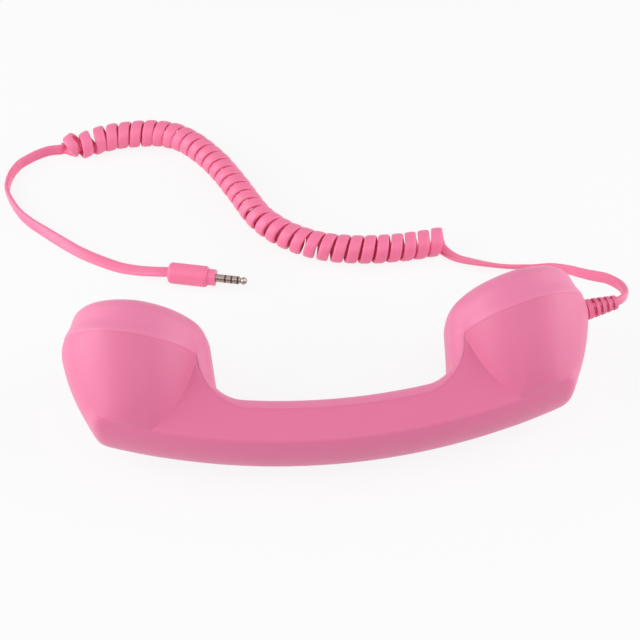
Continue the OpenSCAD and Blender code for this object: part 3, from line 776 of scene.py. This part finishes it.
def perforated(name, side, holes):
    """The plate with sound holes in a cap's recess. The holes' rims are rounded."""
    bm = bmesh.new()
    for outline in [circle(0, 0, RECESS_R, 96)] + [circle(x, y, SOUND_HOLE_R, 28) for x, y in holes]:
        ring = [bm.verts.new((x, y, 0)) for x, y in outline]
        for k in range(len(ring)):
            bm.edges.new((ring[k], ring[(k + 1) % len(ring)]))
    bmesh.ops.triangle_fill(bm, use_beauty=True, use_dissolve=False, edges=bm.edges[:])
    bmesh.ops.recalc_face_normals(bm, faces=bm.faces[:])
    lower = bmesh.ops.extrude_face_region(bm, geom=bm.faces[:])
    for v in lower["geom"]:
        if isinstance(v, bmesh.types.BMVert):
            v.co.z -= GRILLE_THICK
    bmesh.ops.recalc_face_normals(bm, faces=bm.faces[:])
    rims = [e for e in bm.edges if len(e.link_faces) == 2 and e.calc_face_angle() > 1
            and all(v.co.z > -0.1 and v.co.xy.length < RECESS_R - 1 for v in e.verts)]
    bmesh.ops.bevel(bm, geom=rims, offset=RIM_R, segments=3, profile=0.5, affect="EDGES")
    for v in bm.verts:
        v.co = on_cap(v.co.x, v.co.z + CAP_TOP - GRILLE_SUNK, v.co.y, side)
    bmesh.ops.recalc_face_normals(bm, faces=bm.faces[:])
    mesh = bpy.data.meshes.new(name)
    bm.to_mesh(mesh)
    bm.free()
    mesh.materials.append(LIT_PINK_FACE)
    mesh.shade_smooth()
    mesh.set_sharp_from_angle(angle=math.radians(35))
    piece = add_object(name, mesh)
    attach(piece, "handset")
    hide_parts("inner_shell")


INNER_HOLES = [(0.0, 0.0)] + circle(0, 0, HOLE_RING_R, 6)
perforated("ear_grille", -1, INNER_HOLES + circle(0, 0, OUTER_HOLE_RING_R, 12, math.radians(15)))
perforated("mouth_grille", 1, INNER_HOLES)


def push_button():
    """The answer button, turned from its profile. Its dished face is flush with the handle."""
    face_and_rim = [(0, 6.35), (2.5, 6.38), (4.2, 6.5), (5.0, 6.66), (5.45, 6.7), (5.8, 6.58), (5.97, 6.3)]
    side = [(BUTTON_R, 5.9), (BUTTON_R, 4.05)]
    flange = [(6.9, 3.95), (6.9, 2.85)]
    spring_seat = [(3.15, 2.83), (3.1, 3.7)]
    stem = [(1.6, 3.7), (1.6, -0.45), (0, -0.5)]
    profile = face_and_rim + side + flange + spring_seat + stem
    count, rings = 64, len(profile) - 2
    points = [(0, profile[0][1], 0)]
    for r, v in profile[1:-1]:
        points += [(x, v, y) for x, y in circle(0, 0, r, count)]
    points.append((0, profile[-1][1], 0))
    last, last_ring = len(points) - 1, 1 + (rings - 1) * count
    faces = [(0, 1 + (k + 1) % count, 1 + k) for k in range(count)]
    faces += band_faces(rings, count, start=1)
    faces += [(last_ring + k, last_ring + (k + 1) % count, last) for k in range(count)]
    button = mesh_piece("push_button", row(points), [f[::-1] for f in faces], BUTTON_PINK, "button")
    button.data.set_sharp_from_angle(angle=math.radians(40))
    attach(button, "button")
    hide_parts("answer_button")


push_button()


# ---------------------------------------------------------------- floor, world and lights
WHITE = (1, 1, 1, 1)
FLOOR_HALF, FLOOR_GLOW, WORLD_LIGHT = 3, 0.86, 0.29


def plain_rays(tree):
    """1 for camera, glossy and transmission rays."""
    path = tree.nodes.new("ShaderNodeLightPath")
    out = path.outputs["Is Camera Ray"]
    for kind in ("Is Glossy Ray", "Is Transmission Ray"):
        add = tree.nodes.new("ShaderNodeMath")
        add.operation = "ADD"
        add.use_clamp = True
        tree.links.new(out, add.inputs[0])
        tree.links.new(path.outputs[kind], add.inputs[1])
        out = add.outputs[0]
    return out


def mix_shaders(tree, factor, a, b, output):
    """Join two shaders by a factor and lead them to the output node."""
    mix = tree.nodes.new("ShaderNodeMixShader")
    tree.links.new(factor, mix.inputs[0])
    tree.links.new(a.outputs[0], mix.inputs[1])
    tree.links.new(b.outputs[0], mix.inputs[2])
    tree.links.new(mix.outputs[0], tree.nodes[output].inputs["Surface"])


def floor_material():
    """Pale paint that keeps the object's shadow and shows nearly white."""
    material, tree, shader = nodes_of("floor_white")
    shader.inputs["Base Color"].default_value = (0.9, 0.9, 0.9, 1)
    shader.inputs["Roughness"].default_value = 0.9
    shader.inputs["Specular IOR Level"].default_value = 0.0
    glow = tree.nodes.new("ShaderNodeEmission")
    glow.inputs["Color"].default_value = WHITE
    seen = tree.nodes.new("ShaderNodeMath")
    seen.operation = "MULTIPLY"
    seen.inputs[1].default_value = FLOOR_GLOW
    tree.links.new(plain_rays(tree), seen.inputs[0])
    mix_shaders(tree, seen.outputs[0], shader, glow, "Material Output")
    return material


def add_floor():
    a = FLOOR_HALF
    mesh = bpy.data.meshes.new("floor")
    mesh.from_pydata([(-a, -a, 0), (a, -a, 0), (a, a, 0), (-a, a, 0)], [], [(0, 1, 2, 3)])
    mesh.materials.append(floor_material())
    stage = add_object("floor", mesh)


def add_world():
    """A white backdrop that lights the scene only softly."""
    world = bpy.data.worlds.new("studio")
    world.use_nodes = True
    tree = world.node_tree
    sky = tree.nodes["Background"]
    sky.inputs["Color"].default_value = WHITE
    sky.inputs["Strength"].default_value = WORLD_LIGHT
    backdrop = tree.nodes.new("ShaderNodeBackground")
    backdrop.inputs["Color"].default_value = WHITE
    mix_shaders(tree, plain_rays(tree), sky, backdrop, "World Output")
    bpy.context.scene.world = world


def add_lamp(name, place, size, power):
    """A round lamp that faces the handset."""
    data = bpy.data.lights.new(name, "AREA")
    data.shape = "DISK"
    data.size = size
    data.energy = power
    aim(add_object(name, data), place, (0, 0.03, 0))


add_floor()
add_world()
add_lamp("left", (-0.8, 0.0, 0.36), 1.0, 6.3)
add_lamp("right", (0.8, 0.0, 0.36), 1.0, 5.0)
add_lamp("top", (0.0, -0.55, 1.02), 0.9, 2.2)
bpy.context.scene.view_settings.view_transform = "Standard"
